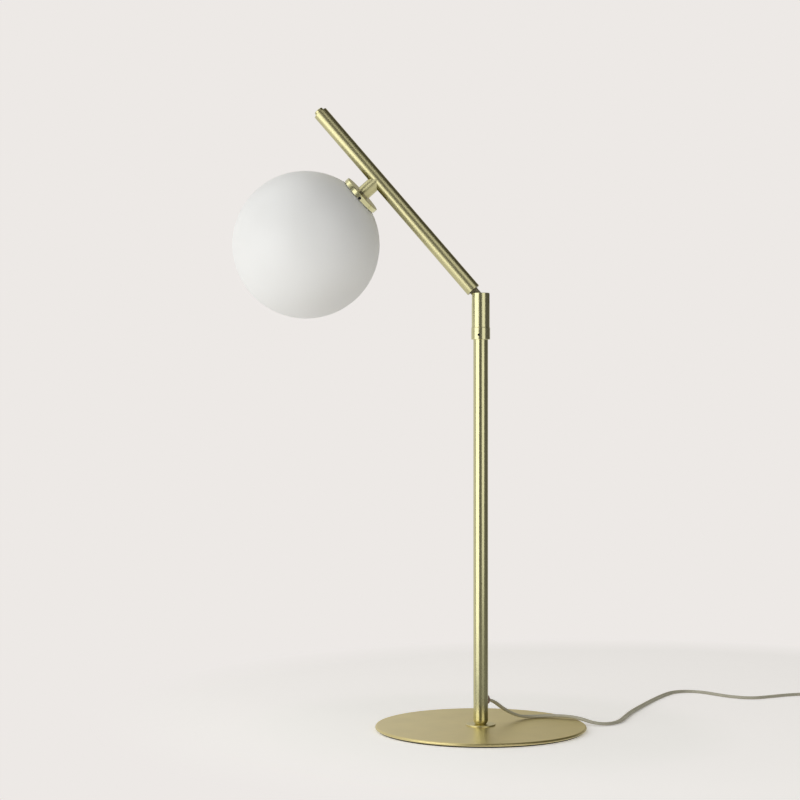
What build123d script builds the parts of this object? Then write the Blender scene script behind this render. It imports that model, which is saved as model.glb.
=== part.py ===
from build123d import *
from math import asin, cos, radians, sin, sqrt, tan
import os

# Globe table lamp: a round base, an upright pole and a tilting arm that carries an opal glass globe.
#
# Millimetres. The origin is the centre of the base's underside, on the pole's axis, and +Z is up.
# At rest the arm leans up towards -X, turned a little towards +Y. The cord leaves the foot of the
# pole towards +X.

# ---------------------------------------------------------------- driving dimensions
# base
base_diameter = 200.0
base_thickness = 2.5
base_edge_radius = 1.4
pad_thickness = 1.5
pad_inset = 2.0
flange_diameter = 28.0
flange_thickness = 1.2
base_screw_diameter = 5.0
base_screw_head_diameter = 9.4
base_screw_grip = 11.0

# pole and arm tubes
tube_diameter = 14.0
tube_wall = 1.0
foot_round_height = 4.2
foot_end_diameter = 10.0
foot_spigot_length = 11.0

# swivel head at the top of the pole
pivot_height = 408.0
head_diameter = 17.2
head_above_pivot = 5.4
head_below_pivot = 27.1
ring_diameter = 17.9
ring_height = 11.5
ring_screw_drop = 7.2
ring_screw_diameter = 2.5
ring_screw_sink = 1.0
ring_screw_socket = 0.6
ring_screw_turn = -104.0
bush_flange_height = 1.8
bush_length = 22.0
stem_diameter = 8.0
stem_bore = 5.0
stem_grip = 12.0
stem_nut_height = 4.0
spring_washer_thickness = 1.0
stop_pin_diameter = 1.6
stop_pin_radius = 5.6
stop_pin_height = 1.4
stop_lug_angle = 20.0

# tilt hinge
tongue_thickness = 4.5
tongue_half_width = 4.0
slot_floor_gap = 0.4
hinge_washer_thickness = 0.5
hinge_washer_diameter = 7.6
hinge_screw_diameter = 3.0
hinge_screw_head_diameter = 5.5
hinge_screw_head_height = 1.6
hinge_screw_sink = 1.0
hinge_blind_wall = 2.0

# arm
swivel_angle = 8.5
tilt_angle = 49.25
arm_start = 10.7
arm_length = 226.0
arm_plug_length = 16.0
tee_distance = 150.8
tee_roll = 2.0
end_cap_plug_length = 8.0
end_neck_diameter = 5.0
end_neck_length = 0.8
knob_diameter = 9.0
knob_length = 2.6
knob_round = 0.7

# tee stub and globe holder, measured from the arm's axis towards the globe
stub_end = 18.4
spacer_diameter = 10.4
cup_top = 19.9
cup_diameter = 40.8
cup_height = 4.4
cup_wall = 2.2
cup_floor = 1.2
cup_edge_radius = 0.6
nipple_diameter = 10.0
nipple_bore = 7.0
nipple_start = 9.0
nipple_end = 28.0
holder_nut_height = 2.4
holder_nut_flats = 14.0
holder_screw_diameter = 3.0
holder_screw_count = 3
first_screw_angle = -104.0
holder_screw_sink = 0.9
holder_screw_socket = 1.0
gasket_thickness = 0.6

# globe, lampholder and bulb
globe_diameter = 141.5
globe_offset = 93.5
glass_thickness = 2.2
neck_diameter = 35.4
lampholder_diameter = 19.0
lampholder_length = 21.0
bulb_diameter = 16.0
bulb_length = 44.0
bulb_base_width = 13.0
bulb_base_thickness = 6.0
bulb_pin_spacing = 9.0
bulb_pin_diameter = 1.3
bulb_pin_length = 9.0

# wiring
lead_diameter = 2.2
core_diameter = 2.7
core_spacing = 2.5
cord_lift = 0.4
exit_height = 27.6
exit_azimuth = 38.0
grommet_diameter = 6.6
grommet_flange_diameter = 9.0
grommet_flange_height = 1.3
grommet_inner_lip = 0.7

# inline switch
switch_length = 62.0
switch_width = 26.0
switch_height = 17.0
switch_wall = 2.0
switch_start = (386.0, 205.0)
rocker_length = 17.0
rocker_width = 9.0
rocker_pivot_drop = 2.6
rocker_rest_angle = 7.0
rocker_pin_diameter = 2.0

# coil of put-away cord, its tie and the plug
coil_centre_x = 496.0
coil_radius = 32.2
coil_half_turns_per_layer = 6
turn_pitch = 3.4
layer_pitch = 5.9
tie_thickness = 0.6
tie_width = 6.0
coil_tail = 20.0
plug_length = 38.0
plug_width = 35.0
plug_relief_length = 22.0
plug_relief_diameter = 9.0
plug_pin_diameter = 4.0
plug_pin_length = 19.0
plug_pin_spacing = 18.6

# fits
running_gap = 0.05
assembly_gap = 0.02
face_gap = 0.15
soft_gap = 0.1

# ---------------------------------------------------------------- derived places
base_radius = base_diameter / 2
base_top = pad_thickness + base_thickness
flange_top = base_top + flange_thickness
tube_radius = tube_diameter / 2
tube_bore_radius = tube_radius - tube_wall
pole_start = flange_top + foot_round_height
head_top = pivot_height + head_above_pivot
head_bottom = pivot_height - head_below_pivot
ring_top = head_bottom - face_gap
bush_top = head_bottom - running_gap
pole_top = bush_top - bush_flange_height
bush_bottom = pole_top - bush_length
stem_radius = stem_diameter / 2
stem_top = head_bottom + stem_grip
stem_nut_top = bush_bottom - spring_washer_thickness
stem_bottom = stem_nut_top - stem_nut_height - 1.0
slot_floor = pivot_height - tongue_half_width - slot_floor_gap
slot_width = tongue_thickness + 2 * hinge_washer_thickness + 4 * assembly_gap

swivel = radians(swivel_angle)
tilt = radians(tilt_angle)
pivot = Vector(0, 0, pivot_height)
outward = Vector(-cos(swivel), sin(swivel), 0)
hinge_axis = Vector(sin(swivel), cos(swivel), 0)
along_arm = outward * cos(tilt) + Vector(0, 0, sin(tilt))
under_arm = outward * sin(tilt) - Vector(0, 0, cos(tilt))
roll = radians(tee_roll)
towards_globe = under_arm * cos(roll) + hinge_axis * sin(roll)
across_tee = towards_globe.cross(along_arm)
tee_origin = pivot + along_arm * tee_distance
globe_centre = tee_origin + towards_globe * globe_offset
globe_radius = globe_diameter / 2
arm_end = arm_start + arm_length

cup_bottom = cup_top + cup_height
cup_ceiling = cup_top + cup_floor
neck_radius = neck_diameter / 2
neck_top = cup_ceiling + gasket_thickness
lampholder_start = cup_ceiling + holder_nut_height
lampholder_end = lampholder_start + lampholder_length

core_radius = core_diameter / 2
cord_width = core_spacing + core_diameter
floor_level = core_radius + cord_lift


def turned_plane(origin, axial, radial):
    """A plane whose local x runs out from a turning axis and whose local y runs along it."""
    return Plane(origin=origin, x_dir=radial, z_dir=radial.cross(axial))


pole_profile = turned_plane(Vector(0, 0, 0), Vector(0, 0, 1), Vector(1, 0, 0))
arm_profile = turned_plane(pivot, along_arm, towards_globe)
tee_profile = turned_plane(tee_origin, towards_globe, along_arm)
pole_axis = Axis.Z
arm_axis = Axis(pivot, along_arm)
tee_axis = Axis(tee_origin, towards_globe)


def arm_plane(distance):
    """The plane square to the arm, at a distance from the hinge; local x faces the globe."""
    return Plane(origin=pivot + along_arm * distance, x_dir=towards_globe, z_dir=along_arm)


def tee_plane(distance):
    """The plane square to the tee, at a distance from the arm's axis; local x runs up the arm."""
    return Plane(origin=tee_origin + towards_globe * distance, x_dir=along_arm, z_dir=towards_globe)


def outline(*points):
    """Fill a straight-sided outline in the current sketch."""
    Polygon(*points, align=None)


def save(builder, name):
    """Label a finished piece and write it as parts/name.step."""
    builder.part.label = name
    export_step(builder.part, f"parts/{name}.step")


os.makedirs("parts", exist_ok=True)

# ---------------------------------------------------------------- base
head_sink = (base_screw_head_diameter - base_screw_diameter) / 2

with BuildPart() as base_pad:
    with BuildSketch(Plane.XY):
        Circle(base_radius - pad_inset)
    extrude(amount=pad_thickness)
save(base_pad, "base_pad")

with BuildPart() as base_plate:
    with BuildSketch(Plane.XY.offset(pad_thickness)):
        Circle(base_radius)
    extrude(amount=base_thickness)
    fillet(base_plate.edges().group_by(Axis.Z)[-1], radius=base_edge_radius)
    chamfer(base_plate.edges().group_by(Axis.Z)[0], length=base_edge_radius / 3)
    with BuildSketch(pole_profile):
        outline(
            (0, pad_thickness),
            (base_screw_head_diameter / 2 + soft_gap, pad_thickness),
            (base_screw_diameter / 2 + soft_gap, pad_thickness + head_sink),
            (base_screw_diameter / 2 + soft_gap, base_top),
            (0, base_top),
        )
    revolve(axis=pole_axis, mode=Mode.SUBTRACT)
save(base_plate, "base_plate")

with BuildPart() as foot_flange:
    with BuildSketch(Plane.XY.offset(base_top)):
        Circle(flange_diameter / 2)
        Circle(base_screw_diameter / 2 + soft_gap, mode=Mode.SUBTRACT)
    extrude(amount=flange_thickness)
    fillet(foot_flange.edges().group_by(Axis.Z)[-1].sort_by(SortBy.LENGTH)[-1:], radius=flange_thickness / 2)
save(foot_flange, "foot_flange")

with BuildPart() as pole_foot:
    with BuildSketch(pole_profile):
        with BuildLine():
            foot_round = TangentArc(
                (tube_radius, pole_start),
                (foot_end_diameter / 2, flange_top),
                tangent=(0, -1),
            )
            Polyline(
                foot_round @ 0,
                (tube_bore_radius - assembly_gap, pole_start),
                (tube_bore_radius - assembly_gap, pole_start + foot_spigot_length),
                (0, pole_start + foot_spigot_length),
                (0, flange_top),
                foot_round @ 1,
            )
        make_face()
    revolve(axis=pole_axis)
    with BuildSketch(Plane.XY.offset(flange_top)):
        Circle(base_screw_diameter / 2)
    extrude(amount=base_screw_grip, mode=Mode.SUBTRACT)
save(pole_foot, "pole_foot")

with BuildPart() as base_screw:
    with BuildSketch(pole_profile):
        outline(
            (0, pad_thickness),
            (base_screw_head_diameter / 2, pad_thickness),
            (base_screw_diameter / 2, pad_thickness + head_sink),
            (base_screw_diameter / 2, flange_top + base_screw_grip),
            (0, flange_top + base_screw_grip),
        )
    revolve(axis=pole_axis)
    with BuildSketch(Plane.XY.offset(pad_thickness)):
        RegularPolygon(radius=base_screw_diameter * 0.35, side_count=6)
    extrude(amount=head_sink, mode=Mode.SUBTRACT)
save(base_screw, "base_screw")

# ---------------------------------------------------------------- pole
exit_turn = radians(exit_azimuth)
exit_way = Vector(cos(exit_turn), sin(exit_turn), 0)
exit_side = Vector(-sin(exit_turn), cos(exit_turn), 0)
exit_origin = Vector(0, 0, exit_height)


def exit_plane(distance):
    """The plane square to the cord's way out of the pole; local x is level."""
    return Plane(origin=exit_origin + exit_way * distance, x_dir=exit_side, z_dir=exit_way)


with BuildPart() as pole_tube:
    with BuildSketch(Plane.XY.offset(pole_start)):
        Circle(tube_radius)
        Circle(tube_bore_radius, mode=Mode.SUBTRACT)
    extrude(amount=pole_top - pole_start)
    with BuildSketch(exit_plane(0)):
        Circle(grommet_diameter / 2 + assembly_gap)
    extrude(amount=tube_diameter, mode=Mode.SUBTRACT)
save(pole_tube, "pole_tube")

with BuildPart() as cord_grommet:
    with BuildSketch(exit_plane(tube_bore_radius - grommet_inner_lip)):
        Circle(grommet_flange_diameter / 2)
    extrude(amount=tube_wall + grommet_inner_lip + grommet_flange_height)
    fillet(cord_grommet.edges().sort_by(Axis(exit_origin, exit_way))[-1], radius=grommet_flange_height / 2)
    with BuildSketch(Plane.XY):
        Circle(tube_radius)
        Circle(tube_bore_radius - grommet_inner_lip, mode=Mode.SUBTRACT)
    extrude(amount=exit_height * 2, mode=Mode.SUBTRACT)
    with BuildSketch(exit_plane(tube_bore_radius - grommet_inner_lip)):
        Circle(grommet_diameter / 2)
    extrude(amount=tube_wall + grommet_inner_lip)
    with BuildSketch(exit_plane(0)):
        with Locations((-core_spacing / 2, 0), (core_spacing / 2, 0)):
            Circle(core_radius + soft_gap)
    extrude(amount=tube_diameter, mode=Mode.SUBTRACT)
save(cord_grommet, "cord_grommet")

clamp_height = 5.0
clamp_start = exit_height + grommet_flange_diameter / 2 + 1.0
lead_top = stem_top
cord_start = tube_bore_radius - grommet_inner_lip

with BuildPart() as pole_lead:
    with BuildLine() as lead_route:
        FilletPolyline(
            exit_origin + exit_way * cord_start,
            exit_origin,
            (0, 0, lead_top),
            radius=cord_start - 1.0,
        )
    with BuildSketch(Plane(origin=lead_route.line @ 0, z_dir=lead_route.line % 0)):
        Circle(lead_diameter / 2)
    sweep()
save(pole_lead, "pole_lead")

with BuildPart() as cord_clamp:
    with BuildSketch(Plane.XY.offset(clamp_start)):
        Circle(tube_bore_radius - assembly_gap)
        Circle(lead_diameter / 2, mode=Mode.SUBTRACT)
    extrude(amount=clamp_height)
save(cord_clamp, "cord_clamp")

# ---------------------------------------------------------------- swivel joint
with BuildPart() as pole_bush:
    with BuildSketch(pole_profile):
        outline(
            (stem_radius + running_gap, bush_bottom),
            (tube_bore_radius - assembly_gap, bush_bottom),
            (tube_bore_radius - assembly_gap, pole_top),
            (tube_radius, pole_top),
            (tube_radius, bush_top),
            (stem_radius + running_gap, bush_top),
        )
    revolve(axis=pole_axis)
    with BuildSketch(Plane.XY.offset(bush_top)):
        with Locations((stop_pin_radius, 0)):
            Circle(stop_pin_diameter / 2)
    extrude(amount=-bush_flange_height, mode=Mode.SUBTRACT)
save(pole_bush, "pole_bush")

with BuildPart() as stop_pin:
    with BuildSketch(Plane.XY.offset(pole_top)):
        with Locations((stop_pin_radius, 0)):
            Circle(stop_pin_diameter / 2)
    extrude(amount=bush_flange_height + stop_pin_height)
save(stop_pin, "stop_pin")

ring_screw_height = ring_top - ring_screw_drop
ring_screw_way = Vector(cos(radians(ring_screw_turn)), sin(radians(ring_screw_turn)), 0)
ring_screw_seat = Vector(0, 0, ring_screw_height) + ring_screw_way * tube_radius
ring_screw_length = ring_diameter / 2 - tube_radius - ring_screw_sink

with BuildPart() as lock_ring:
    with BuildSketch(Plane.XY.offset(ring_top - ring_height)):
        Circle(ring_diameter / 2)
        Circle(tube_radius + assembly_gap, mode=Mode.SUBTRACT)
    extrude(amount=ring_height)
    chamfer(lock_ring.edges().group_by(SortBy.LENGTH)[-1], length=0.3)
    with BuildSketch(Plane(origin=(0, 0, ring_screw_height), z_dir=ring_screw_way)):
        Circle(ring_screw_diameter / 2)
    extrude(amount=ring_diameter, mode=Mode.SUBTRACT)
save(lock_ring, "lock_ring")

with BuildPart() as lock_screw:
    with BuildSketch(Plane(origin=ring_screw_seat, z_dir=ring_screw_way)):
        Circle(ring_screw_diameter / 2 - assembly_gap)
    extrude(amount=ring_screw_length)
    with BuildSketch(Plane(origin=ring_screw_seat + ring_screw_way * ring_screw_length, z_dir=ring_screw_way)):
        RegularPolygon(radius=ring_screw_diameter / 4, side_count=6)
    extrude(amount=-ring_screw_socket, mode=Mode.SUBTRACT)
save(lock_screw, "lock_screw")


def head_plane(distance):
    """The plane square to the hinge's axis, at a distance behind the pole's axis."""
    return Plane(origin=pivot + hinge_axis * distance, x_dir=outward, z_dir=hinge_axis)


screw_head_seat = head_diameter / 2 - hinge_screw_sink - hinge_screw_head_height
screw_tip = -(head_diameter / 2 - hinge_blind_wall)
stop_half_angle = stop_lug_angle / 2
groove_inner = stop_pin_radius - stop_pin_diameter / 2 - 0.1
groove_outer = stop_pin_radius + stop_pin_diameter / 2 + 0.1

with BuildPart() as swivel_head:
    with BuildSketch(Plane.XY.offset(head_bottom)):
        Circle(head_diameter / 2)
    extrude(amount=head_top - head_bottom)
    fillet(swivel_head.edges().group_by(Axis.Z)[-1], radius=0.4)
    with BuildSketch(Plane.XY.offset(head_bottom)):
        Circle(stem_radius)
    extrude(amount=stem_grip, mode=Mode.SUBTRACT)
    with BuildSketch(Plane.XY.offset(head_bottom)):
        Circle(stem_bore / 2)
    extrude(amount=head_top - head_bottom, mode=Mode.SUBTRACT)
    with BuildSketch(Plane(origin=(0, 0, slot_floor), x_dir=outward, z_dir=(0, 0, 1))):
        Rectangle(head_diameter + 1, slot_width)
    extrude(amount=head_top - slot_floor, mode=Mode.SUBTRACT)
    with BuildSketch(head_plane(screw_tip)):
        Circle(hinge_screw_diameter / 2)
    extrude(amount=head_diameter, mode=Mode.SUBTRACT)
    with BuildSketch(head_plane(screw_head_seat)):
        Circle(hinge_screw_head_diameter / 2 + soft_gap)
    extrude(amount=head_diameter, mode=Mode.SUBTRACT)
    with BuildSketch(Plane.XY.offset(head_bottom)):
        Circle(groove_outer)
        Circle(groove_inner, mode=Mode.SUBTRACT)
        with BuildLine():
            lug_sweep = CenterArc((0, 0), head_diameter, 180 - stop_half_angle, stop_lug_angle)
            Polyline(lug_sweep @ 1, (0, 0), lug_sweep @ 0)
        make_face(mode=Mode.SUBTRACT)
    extrude(amount=stop_pin_height + 0.3, mode=Mode.SUBTRACT)
save(swivel_head, "swivel_head")

with BuildPart() as swivel_stem:
    with BuildSketch(Plane.XY.offset(stem_bottom)):
        Circle(stem_radius)
        Circle(stem_bore / 2, mode=Mode.SUBTRACT)
    extrude(amount=stem_top - stem_bottom)
save(swivel_stem, "swivel_stem")

with BuildPart() as spring_washer:
    with BuildSketch(Plane.XY.offset(stem_nut_top + assembly_gap)):
        Circle(tube_bore_radius - 0.5)
        Circle(stem_radius + soft_gap, mode=Mode.SUBTRACT)
    extrude(amount=spring_washer_thickness - 2 * assembly_gap)
save(spring_washer, "spring_washer")

with BuildPart() as stem_nut:
    with BuildSketch(Plane.XY.offset(stem_nut_top)):
        RegularPolygon(radius=tube_bore_radius - 0.4, side_count=6)
        Circle(stem_radius, mode=Mode.SUBTRACT)
    extrude(amount=-stem_nut_height)
save(stem_nut, "stem_nut")

# ---------------------------------------------------------------- tilt hinge
with BuildPart() as hinge_screw:
    with BuildSketch(head_plane(screw_tip)):
        Circle(hinge_screw_diameter / 2)
    extrude(amount=screw_head_seat - screw_tip)
    with BuildSketch(head_plane(screw_head_seat)):
        Circle(hinge_screw_head_diameter / 2)
    extrude(amount=hinge_screw_head_height)
    with BuildSketch(head_plane(screw_head_seat + hinge_screw_head_height)):
        RegularPolygon(radius=hinge_screw_diameter * 0.4, side_count=6)
    extrude(amount=-1.0, mode=Mode.SUBTRACT)
save(hinge_screw, "hinge_screw")

washer_inner_face = tongue_thickness / 2 + assembly_gap
with BuildPart() as hinge_washers:
    for face in (washer_inner_face, -washer_inner_face - hinge_washer_thickness):
        with BuildSketch(head_plane(face)):
            Circle(hinge_washer_diameter / 2)
            Circle(hinge_screw_diameter / 2 + soft_gap, mode=Mode.SUBTRACT)
        extrude(amount=hinge_washer_thickness)
save(hinge_washers, "hinge_washers")

# ---------------------------------------------------------------- arm
lead_offset = -(tongue_half_width - lead_diameter / 2 - 0.2)
lead_hole_radius = lead_diameter / 2 + 0.15
groove_start = tongue_half_width

with BuildPart() as arm_tongue:
    with BuildSketch(Plane(origin=pivot - hinge_axis * (tongue_thickness / 2), x_dir=along_arm, z_dir=hinge_axis)) as side:
        globe_side = 1 if side.workplanes[0].to_local_coords(pivot + towards_globe).Y > 0 else -1
        Circle(tongue_half_width)
        with Locations(((arm_start + 1) / 2, 0)):
            Rectangle(arm_start + 1, 2 * tongue_half_width)
        with Locations((-tongue_half_width / 2, -globe_side * tongue_half_width / 2)):
            Rectangle(tongue_half_width, tongue_half_width)
    extrude(amount=tongue_thickness)
    with BuildSketch(arm_plane(arm_start)):
        Circle(tube_bore_radius - assembly_gap)
    extrude(amount=arm_plug_length)
    with BuildSketch(head_plane(-tongue_thickness)):
        Circle(hinge_screw_diameter / 2 + running_gap)
    extrude(amount=2 * tongue_thickness, mode=Mode.SUBTRACT)
    with BuildSketch(arm_plane(groove_start)):
        with Locations((lead_offset, 0)):
            Circle(lead_hole_radius)
    extrude(amount=arm_start + arm_plug_length, mode=Mode.SUBTRACT)
    with BuildSketch(arm_plane(groove_start)):
        with Locations((lead_offset - tongue_half_width / 2, 0)):
            Rectangle(tongue_half_width, 2 * lead_hole_radius)
    extrude(amount=arm_start - groove_start, mode=Mode.SUBTRACT)
save(arm_tongue, "arm_tongue")

tee_hole_radius = nipple_diameter / 2
with BuildPart() as arm_tube:
    with BuildSketch(arm_plane(arm_start)):
        Circle(tube_radius)
        Circle(tube_bore_radius, mode=Mode.SUBTRACT)
    extrude(amount=arm_length)
    with BuildSketch(tee_plane(0)):
        Circle(tee_hole_radius)
    extrude(amount=tube_diameter, mode=Mode.SUBTRACT)
save(arm_tube, "arm_tube")

with BuildPart() as end_knob:
    with BuildSketch(arm_profile):
        outline(
            (0, arm_end - end_cap_plug_length),
            (tube_bore_radius - assembly_gap, arm_end - end_cap_plug_length),
            (tube_bore_radius - assembly_gap, arm_end),
            (end_neck_diameter / 2, arm_end),
            (end_neck_diameter / 2, arm_end + end_neck_length),
            (knob_diameter / 2, arm_end + end_neck_length),
            (knob_diameter / 2, arm_end + end_neck_length + knob_length),
            (0, arm_end + end_neck_length + knob_length),
        )
    revolve(axis=arm_axis)
    fillet(end_knob.edges().sort_by(arm_axis)[-1], radius=knob_round)
save(end_knob, "end_knob")

# ---------------------------------------------------------------- tee and globe holder
with BuildPart() as tee_stub:
    with BuildSketch(tee_plane(0)):
        Circle(tube_radius)
        Circle(nipple_diameter / 2, mode=Mode.SUBTRACT)
    extrude(amount=stub_end)
    fillet(tee_stub.edges().sort_by(tee_axis)[-1:].filter_by(GeomType.CIRCLE), radius=0.2)
    with BuildSketch(arm_plane(tee_distance - tube_diameter)):
        Circle(tube_radius)
    extrude(amount=2 * tube_diameter, mode=Mode.SUBTRACT)
save(tee_stub, "tee_stub")

with BuildPart() as stub_spacer:
    with BuildSketch(tee_plane(stub_end)):
        Circle(spacer_diameter / 2 + 1.0)
        Circle(nipple_diameter / 2, mode=Mode.SUBTRACT)
    extrude(amount=cup_top - stub_end)
save(stub_spacer, "stub_spacer")

with BuildPart() as threaded_nipple:
    with BuildSketch(tee_plane(nipple_start)):
        Circle(nipple_diameter / 2)
        Circle(nipple_bore / 2, mode=Mode.SUBTRACT)
    extrude(amount=nipple_end - nipple_start)
save(threaded_nipple, "threaded_nipple")

screw_level = (cup_ceiling + cup_bottom) / 2 + 0.3
cup_bore_radius = cup_diameter / 2 - cup_wall


def holder_screw_plane(index, radius):
    """The plane square to one of the globe's screws, at a radius from the tee's axis."""
    turn = radians(first_screw_angle + index * 360 / holder_screw_count)
    way = along_arm * cos(turn) + across_tee * sin(turn)
    level = tee_origin + towards_globe * screw_level
    return Plane(origin=level + way * radius, x_dir=towards_globe, z_dir=way)


with BuildPart() as holder_cup:
    with BuildSketch(tee_plane(cup_top)):
        Circle(cup_diameter / 2)
    extrude(amount=cup_height)
    fillet(holder_cup.edges().filter_by(GeomType.CIRCLE).sort_by(tee_axis)[0], radius=cup_edge_radius)
    with BuildSketch(tee_plane(cup_ceiling)):
        Circle(cup_diameter / 2 - cup_wall)
    extrude(amount=cup_height, mode=Mode.SUBTRACT)
    with BuildSketch(tee_plane(cup_top)):
        Circle(nipple_diameter / 2)
    extrude(amount=cup_height, mode=Mode.SUBTRACT)
    for index in range(holder_screw_count):
        with BuildSketch(holder_screw_plane(index, neck_radius)):
            Circle(holder_screw_diameter / 2)
        extrude(amount=cup_diameter / 2, mode=Mode.SUBTRACT)
save(holder_cup, "holder_cup")

with BuildPart() as holder_screws:
    for index in range(holder_screw_count):
        with BuildSketch(holder_screw_plane(index, neck_radius)):
            Circle(holder_screw_diameter / 2 - assembly_gap)
        extrude(amount=cup_diameter / 2 - holder_screw_sink - neck_radius)
        with BuildSketch(holder_screw_plane(index, cup_diameter / 2 - holder_screw_sink)):
            RegularPolygon(radius=holder_screw_diameter / 4, side_count=6)
        extrude(amount=-holder_screw_socket, mode=Mode.SUBTRACT)
save(holder_screws, "holder_screws")

with BuildPart() as holder_nut:
    with BuildSketch(tee_plane(cup_ceiling)):
        RegularPolygon(radius=holder_nut_flats / 2, side_count=6, major_radius=False)
        Circle(nipple_diameter / 2, mode=Mode.SUBTRACT)
    extrude(amount=holder_nut_height)
save(holder_nut, "holder_nut")

with BuildPart() as neck_gasket:
    with BuildSketch(tee_plane(cup_ceiling)):
        Circle(neck_radius)
        Circle(neck_radius - glass_thickness, mode=Mode.SUBTRACT)
    extrude(amount=gasket_thickness)
save(neck_gasket, "neck_gasket")

# ---------------------------------------------------------------- globe, lampholder and bulb
inner_globe_radius = globe_radius - glass_thickness
inner_neck_radius = neck_radius - glass_thickness
outer_shoulder = globe_offset - sqrt(globe_radius**2 - neck_radius**2)
inner_shoulder = globe_offset - sqrt(inner_globe_radius**2 - inner_neck_radius**2)

with BuildPart() as glass_globe:
    with BuildSketch(tee_profile):
        with BuildLine():
            Line((neck_radius, neck_top), (neck_radius, outer_shoulder))
            ThreePointArc(
                (neck_radius, outer_shoulder),
                (globe_radius, globe_offset),
                (0, globe_offset + globe_radius),
            )
            Line((0, globe_offset + globe_radius), (0, globe_offset + inner_globe_radius))
            ThreePointArc(
                (0, globe_offset + inner_globe_radius),
                (inner_globe_radius, globe_offset),
                (inner_neck_radius, inner_shoulder),
            )
            Line((inner_neck_radius, inner_shoulder), (inner_neck_radius, neck_top))
            Line((inner_neck_radius, neck_top), (neck_radius, neck_top))
        make_face()
    revolve(axis=tee_axis)
save(glass_globe, "glass_globe")

pin_places = [(0, -bulb_pin_spacing / 2), (0, bulb_pin_spacing / 2)]

with BuildPart() as lampholder:
    with BuildSketch(tee_plane(lampholder_start)):
        Circle(lampholder_diameter / 2)
    extrude(amount=lampholder_length)
    chamfer(lampholder.edges().sort_by(tee_axis)[-1], length=0.8)
    with BuildSketch(tee_plane(lampholder_start)):
        Circle(nipple_diameter / 2)
    extrude(amount=nipple_end - lampholder_start, mode=Mode.SUBTRACT)
    with BuildSketch(tee_plane(lampholder_end - bulb_pin_length)):
        with Locations(*pin_places):
            Circle(bulb_pin_diameter / 2 + soft_gap)
    extrude(amount=bulb_pin_length, mode=Mode.SUBTRACT)
save(lampholder, "lampholder")

bulb_base_height = 8.0
with BuildPart() as bulb:
    with BuildSketch(tee_plane(lampholder_end)):
        Rectangle(bulb_base_thickness, bulb_base_width)
    extrude(amount=bulb_base_height)
    with BuildSketch(tee_profile):
        bulb_shoulder = lampholder_end + bulb_base_height
        bulb_round = lampholder_end + bulb_length - bulb_diameter / 2
        with BuildLine():
            Polyline((bulb_diameter / 2, bulb_round), (bulb_diameter / 2, bulb_shoulder), (0, bulb_shoulder))
            Line((0, bulb_shoulder), (0, bulb_round + bulb_diameter / 2))
            RadiusArc((0, bulb_round + bulb_diameter / 2), (bulb_diameter / 2, bulb_round), bulb_diameter / 2)
        make_face()
    revolve(axis=tee_axis)
save(bulb, "bulb")

with BuildPart() as bulb_pins:
    with BuildSketch(tee_plane(lampholder_end)):
        with Locations(*pin_places):
            Circle(bulb_pin_diameter / 2)
    extrude(amount=-(bulb_pin_length - soft_gap))
save(bulb_pins, "bulb_pins")

arm_lead_bend = 8.0
with BuildPart() as arm_lead:
    with BuildLine() as arm_lead_route:
        FilletPolyline(
            pivot + along_arm * groove_start + towards_globe * lead_offset,
            tee_origin + towards_globe * lead_offset,
            tee_origin + towards_globe * nipple_end,
            radius=arm_lead_bend,
        )
    with BuildSketch(Plane(origin=arm_lead_route.line @ 0, z_dir=arm_lead_route.line % 0)):
        Circle(lead_diameter / 2)
    sweep()
save(arm_lead, "arm_lead")

# ---------------------------------------------------------------- inline switch
switch_x, switch_y = switch_start
switch_middle = Vector(switch_x + switch_length / 2, switch_y, 0)
switch_entry = switch_height / 2
switch_corner = 6.0
switch_edge = 1.5
rocker_axis_height = switch_height - rocker_pivot_drop
rocker_end_height = 3.0
rocker_swing = 2 * rocker_end_height * sin(radians(rocker_rest_angle))
rocker_opening = rocker_length + rocker_swing + 4 * soft_gap
boss_radius = 2.6
switch_screw_radius = 1.2
switch_screw_head_radius = 2.0
switch_screw_places = [(-24.0, -7.5), (24.0, 7.5)]
ear_thickness = 1.8
terminal_length = 8.0
terminal_places = [(-15.5, 0), (15.5, 0)]


def switch_plane(height):
    """The level plane through the switch at a height; local x runs along the cord."""
    return Plane(origin=switch_middle + Vector(0, 0, height), x_dir=(1, 0, 0), z_dir=(0, 0, 1))


def switch_end_plane(x):
    """The plane square to the cord at a place on the switch's line; local x is level."""
    return Plane(origin=(x, switch_y, switch_entry), x_dir=(0, 1, 0), z_dir=(1, 0, 0))


with BuildPart() as switch_base:
    with BuildSketch(switch_plane(0)):
        RectangleRounded(switch_length, switch_width, switch_corner)
    extrude(amount=switch_entry)
    fillet(switch_base.edges().group_by(Axis.Z)[0], radius=switch_edge)
    with BuildSketch(switch_plane(switch_wall)):
        RectangleRounded(switch_length - 2 * switch_wall, switch_width - 2 * switch_wall, switch_corner - switch_wall)
    extrude(amount=switch_entry, mode=Mode.SUBTRACT)
    with BuildSketch(switch_plane(switch_wall)):
        with Locations(*switch_screw_places):
            Circle(boss_radius)
    extrude(amount=switch_entry - switch_wall)
    with BuildSketch(switch_plane(0)):
        with Locations(*switch_screw_places):
            Circle(switch_screw_radius + soft_gap)
    extrude(amount=switch_entry, mode=Mode.SUBTRACT)
    with BuildSketch(switch_plane(0)):
        with Locations(*switch_screw_places):
            Circle(switch_screw_head_radius + soft_gap)
    extrude(amount=switch_wall, mode=Mode.SUBTRACT)
    with BuildSketch(switch_end_plane(switch_x)):
        with Locations((-core_spacing / 2, 0), (core_spacing / 2, 0)):
            Circle(core_radius + soft_gap)
    extrude(amount=switch_length, mode=Mode.SUBTRACT)
save(switch_base, "switch_base")

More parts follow.
